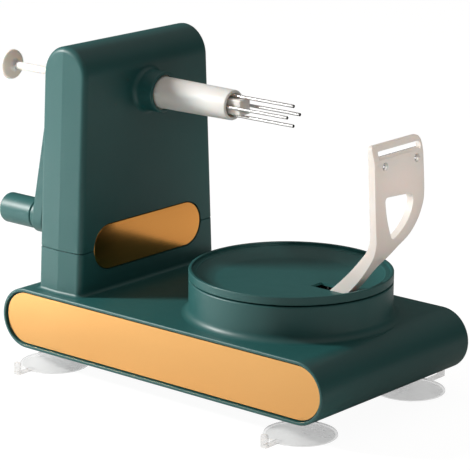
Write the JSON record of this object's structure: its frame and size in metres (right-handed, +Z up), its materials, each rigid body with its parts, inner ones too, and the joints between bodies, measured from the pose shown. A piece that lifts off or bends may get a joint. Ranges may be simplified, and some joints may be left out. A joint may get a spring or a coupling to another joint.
{
  "type": "crank fruit peeler",
  "caption": "Hand cranked fruit peeler: a pill-section base on suction feet, a tower with a tined spindle and ejector, and a geared turntable that swings a peeler arm.",
  "frame": {"origin": "on the table, under the middle of the object's box", "axes": "+X along the base from the crank to the turntable, +Z up"},
  "size_m": [0.289, 0.157, 0.1844],
  "materials": {
    "green_plastic": "deep green satin moulded plastic",
    "gold_metal": "satin gold sheet",
    "white_plastic": "white moulded plastic",
    "cream_plastic": "cream moulded plastic",
    "nylon": "natural nylon",
    "silicone": "clear soft silicone",
    "steel": "bright steel"
  },
  "bodies": {
    "housing": {"base_shell": "green_plastic", "bottom_cover": "green_plastic", "bottom_screws": "steel", "front_panel": "gold_metal", "rear_panel": "gold_metal", "foot_front_left": "silicone", "foot_front_right": "silicone", "foot_rear_left": "silicone", "foot_rear_right": "silicone", "tower_front_cover": "green_plastic", "tower_rear_cover": "green_plastic", "tower_screws": "steel", "oval_plate": "gold_metal", "front_bush": "nylon", "rear_bush": "nylon", "shaft_bracket": "steel", "bracket_screws": "steel", "upper_bush": "nylon", "lower_bush": "nylon", "idler_pin": "steel", "idler_clip": "steel", "turntable_bush": "nylon"},
    "spindle": {"spindle_tube": "white_plastic", "tine_holder": "white_plastic", "tines": "steel", "worm": "steel", "crank_arm": "green_plastic", "crank_screw": "steel", "grip_pin": "steel"},
    "grip": {"grip_sleeve": "green_plastic", "grip_cap": "green_plastic"},
    "ejector": {"ejector_rod": "white_plastic", "ejector_knob": "white_plastic", "ejector_pusher": "white_plastic"},
    "layshaft": {"lay_shaft": "steel", "worm_wheel": "nylon", "shaft_pinion": "nylon", "shaft_clip": "steel"},
    "idler": {"idler_gear": "nylon"},
    "turntable": {"turntable_lid": "green_plastic", "turntable_gear": "nylon", "turntable_axle": "steel", "axle_washer": "steel", "axle_screw": "steel", "lid_screws": "steel", "arm_bracket": "steel", "arm_bracket_screws": "steel", "arm_pin": "steel", "arm_spring": "steel"},
    "arm": {"peeler_arm": "cream_plastic", "blade": "steel", "blade_screws": "steel"}
  },
  "joints": [
    {"name": "crank_turn", "type": "hinge", "parent": "housing", "child": "spindle", "pos_m": [0, 0, 0.1553], "axis": [1, 0, 0], "range_deg": [0, 6075]},
    {"name": "grip_spin", "type": "hinge", "parent": "spindle", "child": "grip", "pos_m": [-0.13, 0, 0.0683], "axis": [1, 0, 0], "continuous": true},
    {"name": "ejector_slide", "type": "slide", "parent": "spindle", "child": "ejector", "axis": [1, 0, 0], "range_m": [0, 0.03]},
    {"name": "layshaft_turn", "type": "hinge", "parent": "housing", "child": "layshaft", "pos_m": [-0.04867, 0.02332, 0.09], "axis": [0, 0, 1], "range_deg": [-338, 0.5]},
    {"name": "idler_turn", "type": "hinge", "parent": "housing", "child": "idler", "pos_m": [-0.00138, 0.00649, 0.025], "axis": [0, 0, 1], "range_deg": [-0.5, 193.36]},
    {"name": "turntable_turn", "type": "hinge", "parent": "housing", "child": "turntable", "pos_m": [0.07133, 0, 0.04], "axis": [0, 0, 1], "range_deg": [-150.5, 0.5]},
    {"name": "arm_tilt", "type": "hinge", "parent": "turntable", "child": "arm", "pos_m": [0.09323, 0, 0.0516], "axis": [0, 1, 0], "range_deg": [-15, 0], "stiffness_Nm_per_rad": 0.06}
  ],
  "couplings": [
    {"joint": "layshaft_turn", "follows": "crank_turn", "ratio": -0.055556},
    {"joint": "idler_turn", "follows": "crank_turn", "ratio": 0.031746},
    {"joint": "turntable_turn", "follows": "crank_turn", "ratio": -0.024691}
  ]
}
